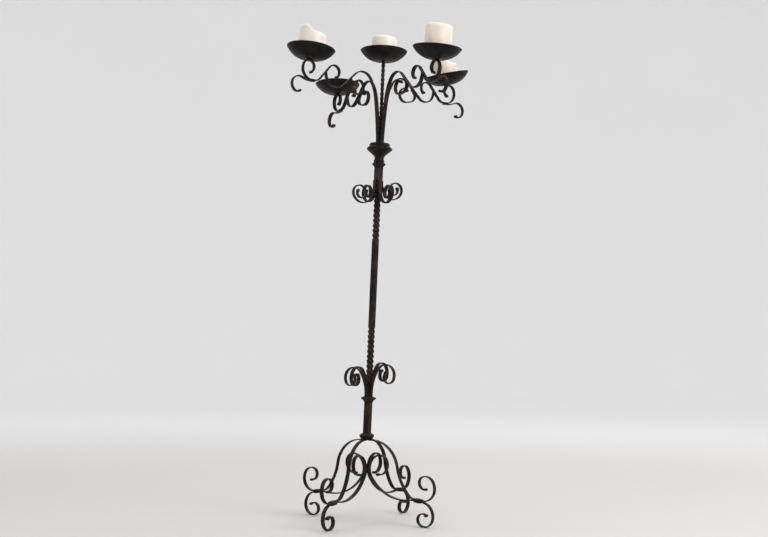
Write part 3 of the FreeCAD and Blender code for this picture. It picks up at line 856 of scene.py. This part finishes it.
def make_arm(corner, direction, bent_up, flat, scroll_up, tipped):
    """Straps of one arm, and the matrix that carries a dish to its seat on them."""
    matrix = LEANING @ turned(direction)
    start = (ARM_START_OUT, ARM_START_LEVEL, ARM_START_HEADING + bent_up)
    loop_at = run(start, ARM_RISE)
    dip = ARM_DIP_FALL + [(0, flat)] + ARM_DIP_RISE
    weld = run(loop_at, dip)
    s_at = (weld[0], weld[1], S_WELD_HEADING + bent_up + scroll_up)
    trough = run(s_at, S_OUTWARD)
    below = ARM_START_LEVEL - CUP_TOP + 0.3
    place_strap(f"arm_bar_{corner}", step(start, (0, -below)), [(0, below)] + ARM_RISE + dip,
                matrix, (False, False))
    place_strap(f"arm_loop_{corner}", shifted(loop_at, -STRAP_THICK),
                [(0, LOOP_CONTACT)] + ARM_LOOP, matrix)
    s_start = turned_back(run(turned_back(s_at), S_INWARD))
    outward = S_OUTWARD + [(0, S_TAIL_CONTACT)] + S_SEAT
    place_strap(f"arm_s_scroll_{corner}", s_start, reversed_bends(S_INWARD) + outward, matrix,
                (True, True))
    place_strap(f"arm_tail_{corner}", shifted(trough, -STRAP_THICK),
                [(0, S_TAIL_CONTACT)] + ARM_TAIL, matrix)
    curl_radius = S_SEAT[-1][0]
    middle = shifted(run(trough, [(0, S_TAIL_CONTACT)] + S_SEAT[:-1]), curl_radius)
    axis = math.radians(90 - tipped)
    lift = curl_radius + STRAP_THICK / 2
    seat = Vector((middle[0] + lift * math.cos(axis), 0, middle[1] + lift * math.sin(axis)))
    return matrix @ Matrix.Translation(seat) @ Matrix.Rotation(math.radians(tipped), 4, "Y")


def make_stem_scrolls():
    for index, (corner, rise) in enumerate(LOWER_SCROLL_RISE.items()):
        place_strap(f"lower_scroll_{corner}", (LOWER_SCROLL_OUT, LOWER_RING_TOP, 90.0),
                    [(0, rise)] + LOWER_STEM_SCROLL,
                    LEANING @ turned(LOWER_SLEEVE_TURN + 90 * index))
        place_strap(f"upper_scroll_{corner}", (UPPER_SCROLL_OUT, UPPER_SLEEVE, -90.0),
                    [(0, UPPER_SCROLL_DROP[corner])] + UPPER_STEM_SCROLL,
                    LEANING @ turned(UPPER_SLEEVE_TURN + 90 * index))


def twist_between(length, turn_below, turn_above):
    """Twist near the usual pitch that carries one square section onto the next."""
    rest = (turn_below - turn_above) % 90
    return rest + 90 * round((length * 360 / TWIST_TURN - rest) / 90)


def make_stem():
    lower = twist_between(LOWER_TWIST_TOP - LOWER_TWIST_BOTTOM, LOWER_SLEEVE_TURN,
                          PLAIN_BAR_TURN)
    upper = twist_between(UPPER_SLEEVE - UPPER_TWIST_BOTTOM, PLAIN_BAR_TURN, UPPER_SLEEVE_TURN)
    runs = [(LOWER_TWIST_BOTTOM, 0), (LOWER_TWIST_TOP, lower), (UPPER_TWIST_BOTTOM, 0),
            (UPPER_SLEEVE, upper), (STEM_TOP, 0)]
    bar = forged_square_bar("forged_stem_bar", STEM_SQUARE, 0.9, HUB_UNDERSIDE + 0.6,
                            LOWER_SLEEVE_TURN, runs, LEANING, BAR_IRON, next(seeds))
    stands_for(bar, "stem_bar")
    rod_twist = (CENTRE_DISH_LEVEL - CUP_TOP) * 360 / TWIST_TURN
    rod = forged_square_bar("forged_centre_rod", CENTRE_ROD_SQUARE, 0.6, ROD_BOTTOM, 0.0,
                            [(CUP_TOP, 0), (CENTRE_DISH_LEVEL, rod_twist)], LEANING, BAR_IRON,
                            next(seeds))
    stands_for(rod, "centre_rod")
    for node, side, bottom, top, turn in (
            ("lower_sleeve", LOWER_SLEEVE_SQUARE, HUB_TOP, LOWER_RING, LOWER_SLEEVE_TURN),
            ("upper_sleeve", UPPER_SLEEVE_SQUARE, UPPER_SLEEVE, UPPER_RING, UPPER_SLEEVE_TURN)):
        matrix = LEANING @ Matrix.Translation((0, 0, (bottom + top) / 2)) @ turned(turn)
        sleeve = band(f"forged_{node}", (side / 2,) * 2, (SLEEVE_BORE / 2,) * 2, 1.2,
                      top - bottom, 0.0, matrix, BAR_IRON, next(seeds))
        stands_for(sleeve, node)


def make_rings():
    """Hub, moulded rings and the turned cup."""
    profiles = {
        "hub_ring": (UPRIGHT, bored(HUB_BORE_RADIUS, HUB_PROFILE)),
        "lower_ring": (LEANING, bored(BORE_RADIUS, LOWER_RING_PROFILE)),
        "upper_ring": (LEANING, bored(BORE_RADIUS, UPPER_RING_PROFILE)),
        "stem_cup": (LEANING, CUP_PROFILE + CUP_HOLLOW)}
    for node, (matrix, profile) in profiles.items():
        piece = turned_piece(f"forged_{node}", profile, 0.7, matrix, TURNED_IRON, next(seeds))
        stands_for(piece, node)


def make_dishes(places):
    for corner, place in places.items():
        bowl = planished_dish(f"forged_dish_{corner}", place, SHEET_IRON, next(seeds))
        stands_for(bowl, f"dish_{corner}")
    stands_for(spikes("forged_prickets", places.values(), BAR_IRON), "prickets")


def make_candle(corner, heading, place):
    seed = next(seeds)
    body = f"candle_{corner}"
    pillar = wax_candle(f"wax_candle_{corner}", corner, heading, place, WAX, seed)
    stands_for(pillar, f"candle_{corner}", body)
    thread = cotton_wick(f"cotton_wick_{corner}", corner, heading, place, WICK, seed)
    stands_for(thread, f"wick_{corner}", body)


def make_candelabra():
    for corner, numbers in LEGS.items():
        make_leg(corner, *numbers)
    make_stem()
    make_rings()
    make_stem_scrolls()
    dish_places = {"centre": LEANING @ Matrix.Translation((0, 0, CENTRE_DISH_LEVEL))}
    for corner, numbers in ARMS.items():
        dish_places[corner] = make_arm(corner, *numbers)
    make_dishes(dish_places)
    for corner in CANDLES:
        heading = ARMS[corner][0] if corner in ARMS else 0.0
        make_candle(corner, heading, dish_places[corner])


# ---- floor, lights and camera --------------------------------------------------------------
def backdrop():
    """Round pale floor that curves up into a far wall all the way round, in metres."""
    floor_radius, cove, wall_height = 5.0, 4.0, 3.0
    profile = [(0.0, 0.0), (0.6, 0.0), (2.0, 0.0), (floor_radius, 0.0)]
    profile += [(floor_radius + cove * math.sin(math.radians(turn)),
                 cove * (1 - math.cos(math.radians(turn)))) for turn in range(6, 91, 6)]
    profile.append((floor_radius + cove, cove + wall_height))
    segments = 96
    bm = bmesh.new()
    rings = []
    for out, up in profile:
        count = segments if out else 1
        rings.append([bm.verts.new((out * math.cos(2 * math.pi * index / count),
                                    out * math.sin(2 * math.pi * index / count), up))
                      for index in range(count)])
    bridge(bm, rings, segments)
    floor = new_object("backdrop", bm, Matrix.Scale(1 / MM, 4), matt_backdrop("backdrop"))


def soft_light(name, place, target, size, power, colour):
    lamp = bpy.data.lights.new(name, "AREA")
    lamp.shape = "RECTANGLE"
    lamp.size, lamp.size_y = size
    lamp.energy = power
    lamp.color = colour
    obj = bpy.data.objects.new(name, lamp)
    obj.location = place
    obj.rotation_euler = (Vector(target) - Vector(place)).to_track_quat("-Z", "Y").to_euler()
    bpy.context.scene.collection.objects.link(obj)


def ambient_light(strength, colour):
    world = bpy.data.worlds.new("studio")
    world.use_nodes = True
    ambient = world.node_tree.nodes["Background"]
    ambient.inputs["Color"].default_value = colour
    ambient.inputs["Strength"].default_value = strength
    bpy.context.scene.world = world


def studio():
    """A warm key from the right, weaker lamps round it, and light from all round."""
    backdrop()
    foot, middle = (0.0, 0.0, 0.0), (0.0, 0.0, 0.75)
    warm, cool, white = (1.0, 0.98, 0.95), (0.97, 0.98, 1.0), (1.0, 1.0, 1.0)
    soft_light("key", (2.6, -1.9, 2.3), middle, (1.4, 1.4), 72.0, warm)
    soft_light("fill", (-2.8, -2.4, 1.5), middle, (2.4, 2.0), 12.0, warm)
    soft_light("rim", (0.8, 2.9, 2.2), middle, (2.0, 1.2), 18.0, cool)
    soft_light("top", (0.0, -0.3, 3.6), foot, (3.5, 3.5), 14.0, white)
    ambient_light(0.92, (1.0, 0.995, 0.99, 1))


def main_camera():
    """Camera low in front of the stand, tipped up a little."""
    from_hub = Vector((41.0, -2760.0, 417.0))
    tipped_up = 3.81
    camera = bpy.data.cameras.new("camera")
    camera.sensor_width = 36.0
    camera.lens = 53.9
    camera.clip_start, camera.clip_end = 0.05, 60.0
    obj = bpy.data.objects.new("camera", camera)
    obj.location = (Vector((HUB_PLACE.x, HUB_PLACE.y, 0.0)) + from_hub) * MM
    obj.rotation_euler = (math.radians(90 + tipped_up), 0.0, 0.0)
    bpy.context.scene.collection.objects.link(obj)
    bpy.context.scene.camera = obj


make_candelabra()
studio()
main_camera()
bpy.context.scene.view_settings.view_transform = "Standard"
bpy.context.view_layer.update()
